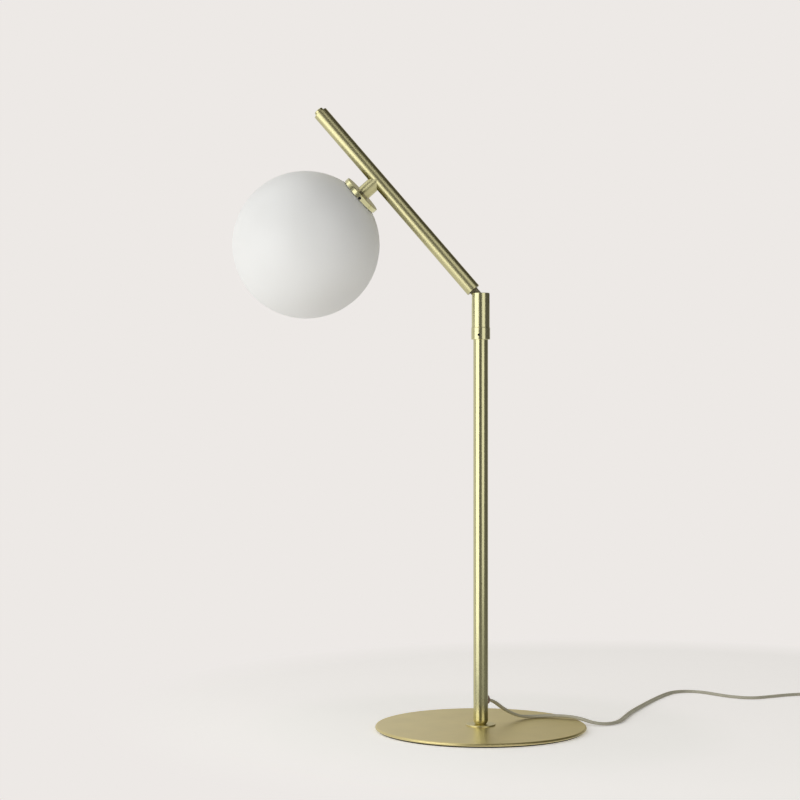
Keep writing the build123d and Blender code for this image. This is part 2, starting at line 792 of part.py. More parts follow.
with BuildPart() as switch_cover:
    with BuildSketch(switch_plane(switch_entry)):
        RectangleRounded(switch_length, switch_width, switch_corner)
    extrude(amount=switch_height - switch_entry)
    fillet(switch_cover.edges().group_by(Axis.Z)[-1], radius=switch_edge)
    with BuildSketch(switch_plane(switch_entry)):
        RectangleRounded(switch_length - 2 * switch_wall, switch_width - 2 * switch_wall, switch_corner - switch_wall)
    extrude(amount=switch_height - switch_entry - switch_wall, mode=Mode.SUBTRACT)
    ear_place = rocker_width / 2 + soft_gap + ear_thickness / 2
    with BuildSketch(switch_plane(rocker_axis_height - rocker_pin_diameter)):
        with Locations((0, -ear_place), (0, ear_place)):
            Rectangle(3 * rocker_pin_diameter, ear_thickness)
    extrude(amount=rocker_pin_diameter + rocker_pivot_drop - switch_wall)
    with BuildSketch(switch_plane(switch_entry)):
        with Locations(*switch_screw_places):
            Circle(boss_radius)
    extrude(amount=switch_height - switch_entry - switch_wall)
    with BuildSketch(switch_plane(switch_entry)):
        with Locations(*switch_screw_places):
            Circle(switch_screw_radius)
    extrude(amount=switch_height - switch_entry - switch_wall, mode=Mode.SUBTRACT)
    with BuildSketch(switch_plane(switch_height - switch_wall)):
        Rectangle(rocker_opening, rocker_width + 2 * soft_gap)
    extrude(amount=switch_wall, mode=Mode.SUBTRACT)
    with BuildSketch(Plane(origin=switch_middle + Vector(0, 0, rocker_axis_height), x_dir=(1, 0, 0), z_dir=(0, -1, 0))):
        Circle(rocker_pin_diameter / 2 + running_gap)
    extrude(amount=ear_place + ear_thickness, both=True, mode=Mode.SUBTRACT)
    with BuildSketch(switch_end_plane(switch_x)):
        with Locations((-core_spacing / 2, 0), (core_spacing / 2, 0)):
            Circle(core_radius + soft_gap)
    extrude(amount=switch_length, mode=Mode.SUBTRACT)
save(switch_cover, "switch_cover")

rocker_dip = 1.9
rocker_skirt = 0.6
rocker_depth = 4.0
rocker_plane = Plane(
    origin=switch_middle + Vector(0, 0, rocker_axis_height),
    x_dir=(cos(radians(rocker_rest_angle)), 0, sin(radians(rocker_rest_angle))),
    z_dir=(0, -1, 0),
)
with BuildPart() as switch_rocker:
    with BuildSketch(rocker_plane):
        outline(
            (-rocker_length / 2, rocker_skirt),
            (-rocker_depth, -rocker_depth),
            (rocker_depth, -rocker_depth),
            (rocker_length / 2, rocker_skirt),
            (rocker_length / 2, rocker_end_height),
            (0, rocker_dip),
            (-rocker_length / 2, rocker_end_height),
        )
    extrude(amount=rocker_width / 2, both=True)
    with BuildSketch(rocker_plane):
        Circle(rocker_pin_diameter / 2)
    extrude(amount=rocker_width / 2 + soft_gap + ear_thickness, both=True)
save(switch_rocker, "switch_rocker")

with BuildPart() as switch_screws:
    with BuildSketch(switch_plane(0.3)):
        with Locations(*switch_screw_places):
            Circle(switch_screw_head_radius)
    extrude(amount=switch_wall - 0.3)
    with BuildSketch(switch_plane(switch_wall)):
        with Locations(*switch_screw_places):
            Circle(switch_screw_radius)
    extrude(amount=switch_height - 2 * switch_wall - 1.0)
save(switch_screws, "switch_screws")

terminal_height = rocker_axis_height - rocker_depth - 1.2 - switch_wall
with BuildPart() as switch_terminals:
    with BuildSketch(switch_plane(switch_wall)):
        with Locations(*terminal_places):
            Rectangle(terminal_length, 5.0)
    extrude(amount=terminal_height)
save(switch_terminals, "switch_terminals")

with BuildPart() as contact_strip:
    with BuildSketch(switch_plane(switch_wall + terminal_height)):
        Rectangle(terminal_places[1][0] * 2 + terminal_length, 3.0)
    extrude(amount=0.4)
save(contact_strip, "contact_strip")

# ---------------------------------------------------------------- cord
core_places = [(-core_spacing / 2, 0), (core_spacing / 2, 0)]


def exit_point(distance, height):
    """A point of the cord's route straight out from the pole's cord hole."""
    return (exit_way.X * distance, exit_way.Y * distance, height)


cord_points = [
    exit_point(cord_start, exit_height),
    exit_point(17.5, exit_height),
    exit_point(32.5, 19.2),
    exit_point(48.0, 10.2),
    exit_point(63.5, 6.2),
    (65.5, 43.5, 6.4),
    (80.5, 39.0, 9.0),
    (95.5, 28.5, 8.6),
    (109.5, 18.0, 4.2),
    (124.5, 19.5, floor_level),
    (136.0, 33.0, floor_level),
    (144.5, 60.0, floor_level),
    (155.0, 92.0, floor_level),
    (173.0, 135.0, floor_level),
    (192.0, 178.0, floor_level),
    (206.0, 205.0, floor_level),
    (215.5, 219.0, floor_level),
    (229.5, 225.0, floor_level),
    (243.5, 220.0, floor_level),
    (255.5, 205.0, floor_level),
    (268.5, 188.5, floor_level),
    (289.5, 177.0, floor_level),
    (311.0, 188.0, floor_level),
    (331.0, 200.0, floor_level),
    (350.0, switch_y, floor_level + soft_gap),
    (363.5, switch_y, 4.0),
    (switch_x - 10.0, switch_y, switch_entry),
    (switch_x, switch_y, switch_entry),
]


def corner_radii(points):
    """Each corner's arc takes 0.45 of its shorter run on either side."""
    corners = [Vector(*point) for point in points]
    radii = []
    for before, corner, after in zip(corners, corners[1:], corners[2:]):
        turn = radians((corner - before).get_angle(after - corner))
        shorter = min((corner - before).length, (after - corner).length)
        radii.append(0.45 * shorter / tan(turn / 2))
    return radii


cord_radii = corner_radii(cord_points)
with BuildPart() as cord_run:
    with BuildLine() as cord_route:
        FilletPolyline(*cord_points, radius=cord_radii)
    with BuildSketch(exit_plane(cord_start)):
        with Locations(*core_places):
            Circle(core_radius)
    sweep()
save(cord_run, "cord_run")

# ---------------------------------------------------------------- coil of the cord that is put away
low_level = tie_thickness + soft_gap + cord_width / 2
high_level = low_level + layer_pitch
climb_step = coil_half_turns_per_layer * turn_pitch / 2
climb_radius = coil_radius - climb_step
climb_slant = asin(layer_pitch / (2 * climb_radius))
coil_start = (switch_x + switch_length, switch_y, switch_entry)
lead_in = [
    coil_start,
    (coil_start[0] + 10.0, switch_y, switch_entry),
    (coil_start[0] + 24.0, switch_y, low_level),
    (coil_centre_x, switch_y, low_level),
]


def half_turn(start, radius, side, rise=0.0):
    """Three points of a half turn from a start; side is +1 from the near edge and -1 from the far."""
    x, y, z = start
    end = (x, y + side * 2 * radius, z + rise)
    slant_radius = sqrt((2 * radius) ** 2 + rise**2) / 2
    middle = (x + side * slant_radius, y + side * radius, z + rise / 2)
    return start, middle, end


coil_arcs = []
place = lead_in[-1]
side = 1
for index in range(2 * coil_half_turns_per_layer + 1):
    from_climb = abs(index - coil_half_turns_per_layer)
    radius = climb_radius + from_climb * turn_pitch / 2
    rise = layer_pitch if from_climb == 0 else 0.0
    coil_arcs.append(half_turn(place, radius, side, rise))
    place = coil_arcs[-1][2]
    side = -side
coil_end = (place[0] - coil_tail, place[1], place[2])

with BuildPart() as cord_coil:
    with BuildLine() as coil_route:
        FilletPolyline(*lead_in, radius=corner_radii(lead_in))
        for arc in coil_arcs:
            ThreePointArc(*arc)
        Line(place, coil_end)
    with BuildSketch(Plane(origin=coil_start, x_dir=(0, -sin(climb_slant), cos(climb_slant)), z_dir=(1, 0, 0))):
        with Locations(*core_places):
            Circle(core_radius)
    sweep()
save(cord_coil, "cord_coil")

with BuildPart() as coil_tie:
    tie_low = soft_gap / 2
    tie_inner = (
        coil_centre_x + climb_radius - core_radius - 2 * soft_gap,
        coil_centre_x + coil_radius + core_radius + 3 * soft_gap,
    )
    tie_reach = tie_inner[1] - tie_inner[0]
    tie_rise = high_level + cord_width / 2 + soft_gap - tie_low - tie_thickness
    tie_plane = Plane(
        origin=(sum(tie_inner) / 2, switch_y + coil_radius - tie_width / 2, tie_low + tie_thickness + tie_rise / 2),
        x_dir=(1, 0, 0),
        z_dir=(0, -1, 0),
    )
    with BuildSketch(tie_plane):
        RectangleRounded(tie_reach + 2 * tie_thickness, tie_rise + 2 * tie_thickness, 1.5)
        RectangleRounded(tie_reach, tie_rise, 1.5 - tie_thickness, mode=Mode.SUBTRACT)
    extrude(amount=-tie_width)
save(coil_tie, "coil_tie")

# ---------------------------------------------------------------- plug
plug_x, plug_y, plug_z = coil_end
plug_back = plug_x - plug_relief_length
plug_front = plug_back - plug_length
plug_shoulder = 13.0
plug_pin_grip = 8.0
plug_pin_places = [(plug_y - plug_pin_spacing / 2, plug_z), (plug_y + plug_pin_spacing / 2, plug_z)]

with BuildPart() as plug_body:
    with BuildSketch(Plane.XY):
        outline(
            (plug_back, plug_y - plug_relief_diameter),
            (plug_back - plug_shoulder, plug_y - plug_width / 2),
            (plug_front, plug_y - plug_width / 2),
            (plug_front, plug_y + plug_width / 2),
            (plug_back - plug_shoulder, plug_y + plug_width / 2),
            (plug_back, plug_y + plug_relief_diameter),
        )
    extrude(amount=2 * plug_z)
    fillet(plug_body.edges().filter_by(Axis.Z), radius=3.0)
    fillet(plug_body.edges().group_by(Axis.Z)[-1] + plug_body.edges().group_by(Axis.Z)[0], radius=2.0)
    with BuildSketch(Plane(origin=(plug_front, 0, 0), x_dir=(0, 1, 0), z_dir=(1, 0, 0))):
        with Locations(*plug_pin_places):
            Circle(plug_pin_diameter / 2)
    extrude(amount=plug_pin_grip, mode=Mode.SUBTRACT)
save(plug_body, "plug_body")

with BuildPart() as plug_relief:
    with BuildSketch(Plane(origin=(plug_back, plug_y, plug_z), x_dir=(0, 1, 0), z_dir=(1, 0, 0))):
        Circle(plug_relief_diameter / 2)
    with BuildSketch(Plane(origin=(plug_x, plug_y, plug_z), x_dir=(0, 1, 0), z_dir=(1, 0, 0))):
        Circle(cord_width / 2 + 0.8)
    loft()
save(plug_relief, "plug_relief")

with BuildPart() as plug_pins:
    with BuildSketch(Plane(origin=(plug_front + plug_pin_grip, 0, 0), x_dir=(0, 1, 0), z_dir=(1, 0, 0))):
        with Locations(*plug_pin_places):
            Circle(plug_pin_diameter / 2)
    extrude(amount=-(plug_pin_grip + plug_pin_length))
    fillet(plug_pins.edges().group_by(Axis.X)[0], radius=1.2)
save(plug_pins, "plug_pins")

# ---------------------------------------------------------------- cord facts
cord_path = cord_route.wire()
coil_path = coil_route.wire()
section_area = cord_run.part.volume / cord_path.length


def track(route, start_wide, step):
    """Points along a route with the flat cord's wide direction carried along them."""
    count = int(route.length / step)
    places = []
    wide = start_wide
    for index in range(count + 1):
        tangent = route % (index / count)
        wide = (wide - tangent * wide.dot(tangent)).normalized()
        places.append((route @ (index / count), wide))
    return places


def least_self_gap(places, step, skip):
    """The smallest gap between the cores of places further apart than skip along the cord."""
    half = core_spacing / 2
    cores = [(point + wide * half, point - wide * half) for point, wide in places]
    apart = int(skip / step)
    least = None
    for index, pair in enumerate(cores):
        for other in cores[index + apart:]:
            for first in pair:
                for second in other:
                    gap = (first - second).length - core_diameter
                    if least is None or gap < least:
                        least = gap
    return least


coil_step = 2.5
coil_places = track(coil_path, Vector(0, -sin(climb_slant), cos(climb_slant)), coil_step)
print("cord run length", round(cord_path.length, 1), "section area", round(section_area, 3))
print("cord run arc radii", [round(radius, 1) for radius in cord_radii])
print("coil length", round(coil_path.length, 1))
print("coil section area", round(cord_coil.part.volume / coil_path.length, 3))
print("coil least gap to itself", round(least_self_gap(coil_places, coil_step, 30.0), 3))
print("cord length in all", round(cord_path.length + coil_path.length + switch_length, 1))
print("lowest point of the cord", round(cord_run.part.bounding_box().min.Z, 3))
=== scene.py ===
from math import cos, pi, radians, sin

import bmesh
import bpy
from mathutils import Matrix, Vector


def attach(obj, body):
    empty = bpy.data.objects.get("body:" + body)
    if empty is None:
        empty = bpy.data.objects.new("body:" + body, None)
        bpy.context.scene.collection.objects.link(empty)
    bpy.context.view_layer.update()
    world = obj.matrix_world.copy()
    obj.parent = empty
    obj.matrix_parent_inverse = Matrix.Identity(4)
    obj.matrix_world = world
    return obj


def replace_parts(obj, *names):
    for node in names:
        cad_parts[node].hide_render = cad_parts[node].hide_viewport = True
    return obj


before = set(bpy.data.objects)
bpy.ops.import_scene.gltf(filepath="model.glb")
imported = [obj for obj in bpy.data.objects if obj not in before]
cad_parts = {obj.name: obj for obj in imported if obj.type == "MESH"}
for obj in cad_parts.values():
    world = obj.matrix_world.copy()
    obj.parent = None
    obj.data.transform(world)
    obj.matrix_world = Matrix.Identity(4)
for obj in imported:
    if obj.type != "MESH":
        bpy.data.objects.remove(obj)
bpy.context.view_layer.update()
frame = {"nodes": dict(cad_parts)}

# Globe table lamp: brass base, pole and tilting arm with an opal glass globe, and its free flat cord.
# Metres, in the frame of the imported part: the lamp stands on z = 0, its pole is the Z axis, the arm
# leans to -X and the cord leaves to +X.

# ---------------------------------------------------------------- driving sizes
# camera
camera_place = (-0.0765, -1.805, 0.312)
camera_lens = 85.7
film_width = 36.0

# arm's lie, for the direction of its drawn lines
swivel = radians(8.5)
tilt = radians(49.25)

# pad under the base
pad_radius = 0.098
pad_thickness = 0.0015
pad_edge = 0.0005
pad_edge_steps = 4
pad_segments = 192
pad_roughness = 0.92

# cord: its section, its lie on the floor and its coil; the stops are (distance, share of a quarter turn)
core_radius = 0.00135
core_spacing = 0.0025
cord_width = 0.0052
groove_depth = 0.0007
core_steps = 12
steps_per_span = 12
exit_turn = radians(38.0)
floor_level = 0.0016
edge_level = 0.0019
edge_share = 0.2
edge_stops = [(0.0, 0.0), (0.150, 0.0), (0.194, edge_share), (0.345, edge_share), (0.385, 0.0)]
switch_level = 0.0085
coil_centre_x = 0.496
coil_start_y = 0.205
coil_radius = 0.0322
coil_half_turns = 6
turn_pitch = 0.0034
layer_pitch = 0.0059
low_level = 0.0033
coil_tail = 0.020
points_per_half_turn = 8

# strain relief of the plug
relief_length = 0.022
relief_radius = 0.0042
relief_end_radius = 0.0034
relief_ribs = 6
rib_depth = 0.0005
rib_outline = [(0.05, 0.0), (0.60, 0.0), (0.68, 1.0), (0.94, 1.0)]
cord_play = 0.0001
relief_segments = 64

# edges sharper than this many degrees stay sharp, on turned pieces and on the cord
crease_angle = 32
cord_crease_angle = 50

# metals: drawn lines and clouds of tone; here and below, densities are per metre and spreads are shares
line_density = 3000.0
line_depth = 0.00001
line_strength = 0.1
metal_clouds = 35.0
tone_spread = 0.03
polish_spread = 0.08

# plastics: moulded grain and clouds of tone
grain_density = 1500.0
grain_detail = 3.0
grain_depth = 0.00003
grain_strength = 0.4
grain_spread = 0.15
plastic_clouds = 60.0

# opal glass: etched skin, clouds of tone, and light that scatters inside
etch_density = 2200.0
etch_depth = 0.00001
etch_strength = 0.3
etch_roughness = (0.38, 0.52)
glass_clouds = 14.0
opal_share = 0.2
opal_depth = 0.004

# cell rubber of the pad: its pores
pore_density = 900.0
pore_depth = 0.0002
pore_strength = 0.8

# plastics and glass alike
refractive_index = 1.5

# where the two tones of a varied colour lie in its noise
shade_stops = (0.3, 0.7)

up = Vector((0, 0, 1))


# ---------------------------------------------------------------- mesh helpers
def new_piece(name, mesh, body, material):
    """Put a mesh in the scene as a piece that rides on a body."""
    piece = bpy.data.objects.new(name, mesh)
    bpy.context.collection.objects.link(piece)
    mesh.materials.append(material)
    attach(piece, body)
    return piece


def smooth(mesh, angle):
    """Shade a mesh smooth, with its edges sharper than an angle kept."""
    mesh.shade_smooth()
    mesh.set_sharp_from_angle(angle=radians(angle))


def lathe(name, profile, origin, axis, side, segments):
    """Turn a closed profile of (radius, height) points about an axis into a mesh."""
    other = axis.cross(side)
    shape = bmesh.new()
    rings = []
    for radius, height in profile:
        middle = origin + axis * height
        if radius == 0:
            rings.append([shape.verts.new(middle)])
            continue
        ring = []
        for step in range(segments):
            turn = 2 * pi * step / segments
            ring.append(shape.verts.new(middle + (side * cos(turn) + other * sin(turn)) * radius))
        rings.append(ring)
    for low, high in zip(rings, rings[1:] + rings[:1]):
        for step in range(segments):
            after = (step + 1) % segments
            corners = ((low, step), (low, after), (high, after), (high, step))
            face = list(dict.fromkeys(ring[place % len(ring)] for ring, place in corners))
            if len(face) > 2:
                shape.faces.new(face)
    bmesh.ops.recalc_face_normals(shape, faces=shape.faces)
    mesh = bpy.data.meshes.new(name)
    shape.to_mesh(mesh)
    shape.free()
    smooth(mesh, crease_angle)
    return mesh


def arc(centre, radius, start, end, count):
    """Points of an arc in a profile, from one angle to another, in degrees."""
    points = []
    for step in range(count + 1):
        angle = radians(start + (end - start) * step / count)
        points.append((centre[0] + radius * cos(angle), centre[1] + radius * sin(angle)))
    return points


# ---------------------------------------------------------------- material helpers
def new_material(name):
    """A material with its nodes, links and principled shader."""
    material = bpy.data.materials.new(name)
    material.use_nodes = True
    nodes = material.node_tree.nodes
    return material, nodes, material.node_tree.links, nodes["Principled BSDF"]


def noise(nodes, links, density, stretch=(1, 1, 1), turn=(0, 0, 0), detail=2.0):
    """A noise texture in the part's own frame, stretched along chosen directions."""
    coordinates = nodes.new("ShaderNodeTexCoord")
    mapping = nodes.new("ShaderNodeMapping")
    mapping.vector_type = "TEXTURE"
    mapping.inputs["Scale"].default_value = stretch
    mapping.inputs["Rotation"].default_value = turn
    texture = nodes.new("ShaderNodeTexNoise")
    texture.inputs["Scale"].default_value = density
    texture.inputs["Detail"].default_value = detail
    links.new(coordinates.outputs["Object"], mapping.inputs["Vector"])
    links.new(mapping.outputs["Vector"], texture.inputs["Vector"])
    return texture.outputs["Fac"]


def spread(nodes, links, value, low, high):
    """Map a 0 to 1 value onto a range."""
    scaled = nodes.new("ShaderNodeMapRange")
    scaled.inputs["To Min"].default_value = low
    scaled.inputs["To Max"].default_value = high
    links.new(value, scaled.inputs["Value"])
    return scaled.outputs["Result"]


def shades(nodes, links, value, dark, light):
    """Mix two colours by a value, for a surface whose colour varies a little."""
    ramp = nodes.new("ShaderNodeValToRGB")
    ramp.color_ramp.elements[0].position = shade_stops[0]
    ramp.color_ramp.elements[0].color = (*dark, 1)
    ramp.color_ramp.elements[1].position = shade_stops[1]
    ramp.color_ramp.elements[1].color = (*light, 1)
    links.new(value, ramp.inputs["Fac"])
    return ramp.outputs["Color"]


def bump(nodes, links, value, distance, strength):
    """A bump from a height value."""
    relief = nodes.new("ShaderNodeBump")
    relief.inputs["Distance"].default_value = distance
    relief.inputs["Strength"].default_value = strength
    links.new(value, relief.inputs["Height"])
    return relief.outputs["Normal"]


def uneven(nodes, links, value, middle, part):
    """Vary a value about its middle, by a part of it each way."""
    return spread(nodes, links, value, middle * (1 - part), middle * (1 + part))


def combined(nodes, links, operation, first, second):
    """The result of one operation on a value and another value or a number."""
    result = nodes.new("ShaderNodeMath")
    result.operation = operation
    links.new(first, result.inputs[0])
    if isinstance(second, float):
        result.inputs[1].default_value = second
    else:
        links.new(second, result.inputs[1])
    return result.outputs["Value"]


def mixed(nodes, links, share, first, second):
    """A mix of two shaders: the first where the share is 0, and the second where it is 1."""
    mix = nodes.new("ShaderNodeMixShader")
    links.new(share, mix.inputs["Fac"])
    links.new(first, mix.inputs[1])
    links.new(second, mix.inputs[2])
    return mix.outputs["Shader"]


def brushed_metal(name, colour, roughness, stretch=(1, 1, 1), turn=(0, 0, 0)):
    """A metal with fine drawn lines, slight colour changes and uneven polish."""
    material, nodes, links, shader = new_material(name)
    shader.inputs["Metallic"].default_value = 1.0
    lines = noise(nodes, links, line_density, stretch, turn)
    clouds = noise(nodes, links, metal_clouds)
    dark = tuple(channel * (1 - tone_spread) for channel in colour)
    light = tuple(min(1.0, channel * (1 + tone_spread)) for channel in colour)
    links.new(shades(nodes, links, clouds, dark, light), shader.inputs["Base Color"])
    links.new(uneven(nodes, links, lines, roughness, polish_spread), shader.inputs["Roughness"])
    links.new(bump(nodes, links, lines, line_depth, line_strength), shader.inputs["Normal"])
    return material


def plastic(name, dark, light, roughness):
    """A moulded plastic with a fine grain."""
    material, nodes, links, shader = new_material(name)
    grains = noise(nodes, links, grain_density, detail=grain_detail)
    clouds = noise(nodes, links, plastic_clouds)
    links.new(shades(nodes, links, clouds, dark, light), shader.inputs["Base Color"])
    links.new(uneven(nodes, links, grains, roughness, grain_spread), shader.inputs["Roughness"])
    links.new(bump(nodes, links, grains, grain_depth, grain_strength), shader.inputs["Normal"])
    shader.inputs["IOR"].default_value = refractive_index
    return material


# ---------------------------------------------------------------- materials
brass_colour = (0.64, 0.61, 0.35)
drawn_stretch = (1, 1, 40)
turned_stretch = (6, 6, 1)
arm_turn = (0, tilt - pi / 2, -swivel)
pole_brass = brushed_metal("pole_brass", brass_colour, 0.2, drawn_stretch)
# the arm's brass is a darker copy of the pole's brass: painted shade that dims the arm, its end knob and
# its stub
shaded_arm_brass = brushed_metal("shaded_arm_brass", (0.555, 0.52, 0.29), 0.34, drawn_stretch, arm_turn)
base_brass = brushed_metal("base_brass", (0.75, 0.645, 0.31), 0.36)
turned_brass = brushed_metal("turned_brass", brass_colour, 0.22, turned_stretch)
foot_brass = brushed_metal("foot_brass", (0.68, 0.61, 0.32), 0.34, turned_stretch)
# dark metal: on the arm's tongue and the stub's spacer its darkness is painted shade for the shadowed
# gaps there
dark_shade_metal = brushed_metal("dark_shade_metal", (0.30, 0.27, 0.18), 0.35)
black_steel = brushed_metal("black_steel", (0.045, 0.042, 0.04), 0.42)
screw_steel = brushed_metal("screw_steel", (0.36, 0.33, 0.27), 0.32)
nickel = brushed_metal("nickel", (0.75, 0.73, 0.70), 0.18)
cord_plastic = plastic("cord_plastic", (0.52, 0.495, 0.385), (0.59, 0.57, 0.45), 0.36)
switch_plastic = plastic("switch_plastic", (0.30, 0.27, 0.21), (0.34, 0.31, 0.24), 0.42)
grommet_rubber = plastic("grommet_rubber", (0.30, 0.22, 0.18), (0.37, 0.27, 0.22), 0.6)
pale_plastic = plastic("pale_plastic", (0.66, 0.64, 0.58), (0.75, 0.73, 0.68), 0.45)
tie_plastic = plastic("tie_plastic", (0.02, 0.02, 0.02), (0.035, 0.035, 0.035), 0.5)


def opal_glass():
    """White opal glass with an etched, silky outside."""
    material, nodes, links, shader = new_material("opal_glass")
    shader.inputs["Subsurface Weight"].default_value = opal_share
    shader.inputs["Subsurface Radius"].default_value = (1.0, 0.97, 0.92)
    shader.inputs["Subsurface Scale"].default_value = opal_depth
    shader.inputs["IOR"].default_value = refractive_index
    clouds = noise(nodes, links, glass_clouds)
    etch = noise(nodes, links, etch_density)
    white = shades(nodes, links, clouds, (0.895, 0.898, 0.878), (0.915, 0.918, 0.900))
    links.new(white, shader.inputs["Base Color"])
    links.new(spread(nodes, links, etch, *etch_roughness), shader.inputs["Roughness"])
    links.new(bump(nodes, links, etch, etch_depth, etch_strength), shader.inputs["Normal"])
    return material


opal = opal_glass()


# ---------------------------------------------------------------- cord route
def exit_point(distance, height):
    """A point of the cord's route straight out from the pole's cord hole."""
    return (cos(exit_turn) * distance, sin(exit_turn) * distance, height)


free_points = [
    exit_point(0.0053, 0.0276),
    exit_point(0.0130, 0.0274),
    exit_point(0.0300, 0.0155),
    exit_point(0.0480, 0.0074),
    exit_point(0.0635, 0.0056),
    (0.0655, 0.0425, 0.0056),
    (0.0805, 0.0380, 0.0065),
    (0.0955, 0.0275, 0.0062),
    (0.1095, 0.0170, 0.0026),
    (0.1245, 0.0195, floor_level),
    (0.1360, 0.0330, 0.0018),
    (0.1445, 0.0600, edge_level),
    (0.1550, 0.0920, edge_level),
    (0.1730, 0.1350, edge_level),
    (0.1920, 0.1780, edge_level),
    (0.2060, 0.2050, edge_level),
    (0.2155, 0.2190, 0.0018),
    (0.2295, 0.2255, floor_level),
    (0.2435, 0.2200, floor_level),
    (0.2555, 0.2050, floor_level),
    (0.2685, 0.1885, floor_level),
    (0.2895, 0.1770, floor_level),
    (0.3110, 0.1880, floor_level),
    (0.3310, 0.2000, floor_level),
    (0.3500, 0.2050, 0.0017),
    (0.3635, 0.2050, 0.0040),
    (0.3760, 0.2050, switch_level),
    (0.3860, 0.2050, switch_level),
]
lead_in_points = [
    (0.448, coil_start_y, switch_level),
    (0.458, coil_start_y, switch_level),
    (0.472, coil_start_y, low_level),
    (coil_centre_x, coil_start_y, low_level),
]


def coil_points(start):
    """The coil's turns: half turns that shrink towards the climb between layers and grow after it."""
    points = []
    x, y, z = start
    side = 1
    climb_radius = coil_radius - coil_half_turns * turn_pitch / 2
    for index in range(2 * coil_half_turns + 1):
        from_climb = abs(index - coil_half_turns)
        radius = climb_radius + from_climb * turn_pitch / 2
        rise = layer_pitch if from_climb == 0 else 0.0
        reach = radius / cos(pi / 2 / points_per_half_turn)
        for step in range(points_per_half_turn):
            part = (step + 0.5) / points_per_half_turn
            across = side * reach * sin(pi * part)
            along = side * (radius - reach * cos(pi * part))
            points.append((x + across, y + along, z + rise * part))
        y += side * 2 * radius
        z += rise
        side = -side
    points.append((x, y, z))
    points.append((x - coil_tail, y, z))
    return points


def cord_line():
    """The points along the cord's smooth centreline, read from a curve through its route."""
    route = free_points + lead_in_points + coil_points(lead_in_points[-1])
    curve = bpy.data.curves.new("cord_line", "CURVE")
    curve.dimensions = "3D"
    spline = curve.splines.new("NURBS")
    spline.points.add(len(route) - 1)
    for control, place in zip(spline.points, route):
        control.co = (*place, 1.0)
    spline.order_u = 3
    spline.use_endpoint_u = True
    spline.resolution_u = steps_per_span
    holder = bpy.data.objects.new("cord_line", curve)
    bpy.context.collection.objects.link(holder)
    bpy.context.view_layer.update()
    drawn = holder.evaluated_get(bpy.context.evaluated_depsgraph_get())
    line = [vertex.co.copy() for vertex in bpy.data.meshes.new_from_object(drawn).vertices]
    bpy.data.objects.remove(holder)
    return line


def cord_profile():
    """Outline of the flat cord: two round cores side by side, joined by a web with a groove."""
    points = []
    waist = core_radius - groove_depth
    for centre, start in ((core_spacing / 2, -90), (-core_spacing / 2, 90)):
        for across, height in arc((centre, 0), core_radius, start, start + 180, core_steps):
            points.append((across, height))
        points.append((0.0, waist if start < 0 else -waist))
    return points


def travelled(line):
    """How far along the line each of its points lies."""
    reach = [0.0]
    for before, after in zip(line, line[1:]):
        reach.append(reach[-1] + (after - before).length)
    return reach


def share_at(stops, distance):
    """The share at a distance, on straight lines between stops of (distance, share)."""
    for (start, low), (end, high) in zip(stops, stops[1:]):
        if distance <= end:
            return low + (high - low) * (distance - start) / (end - start)
    return stops[-1][1]


def roll_stops(line, reach):
    """Stops for the cord's turn onto its edge: a little behind the base, and all the way in the coil."""
    switch_end = Vector(lead_in_points[0])
    turn_start = reach[min(range(len(line)), key=lambda index: (line[index] - switch_end).length)]
    turn_length = (Vector(lead_in_points[-1]) - switch_end).length
    return edge_stops + [(turn_start, 0.0), (turn_start + turn_length, 1.0)]


def cord_mesh(line):
    """Sweep the flat cord's outline along its line, turned about it as it goes."""
    outline = cord_profile()
    reach = travelled(line)
    stops = roll_stops(line, reach)
    shape = bmesh.new()
    rings = []
    for index, place in enumerate(line):
        before = line[max(index - 1, 0)]
        after = line[min(index + 1, len(line) - 1)]
        tangent = (after - before).normalized()
        level = up.cross(tangent).normalized()
        upward = tangent.cross(level)
        roll = share_at(stops, reach[index]) * pi / 2
        wide = level * cos(roll) + upward * sin(roll)
        thick = tangent.cross(wide)
        ring = [place + wide * across + thick * height for across, height in outline]
        rings.append([shape.verts.new(corner) for corner in ring])
    for low, high in zip(rings, rings[1:]):
        for step in range(len(outline)):
            after = (step + 1) % len(outline)
            shape.faces.new((low[step], low[after], high[after], high[step]))
    shape.faces.new(list(reversed(rings[0])))
    shape.faces.new(rings[-1])
    bmesh.ops.recalc_face_normals(shape, faces=shape.faces)
    mesh = bpy.data.meshes.new("flat_cord")
    shape.to_mesh(mesh)
    shape.free()
    smooth(mesh, cord_crease_angle)
    return mesh


def relief_profile():
    """Half outline of the plug's tapered strain relief, from the cord's end to the plug, with ribs."""
    pitch = relief_length / relief_ribs
    bore = cord_width / 2 + cord_play
    points = [(bore, 0.0)]
    for rib in range(relief_ribs):
        for part, cut in rib_outline:
            height = (rib + part) * pitch
            outside = relief_end_radius + (relief_radius - relief_end_radius) * height / relief_length
            points.append((outside - cut * rib_depth, height))
    points.append((relief_radius, relief_length))
    points.append((bore, relief_length))
    return points


cord_centre = cord_line()
flat_cord = new_piece("flat_cord", cord_mesh(cord_centre), "stand", cord_plastic)
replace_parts(flat_cord, "cord_run", "cord_coil")

relief_end = cord_centre[-1]
plug_relief = new_piece(
    "ribbed_relief",
    lathe("ribbed_relief", relief_profile(), relief_end, Vector((-1, 0, 0)), up, relief_segments),
    "stand",
    switch_plastic,
)
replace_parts(plug_relief, "plug_relief")


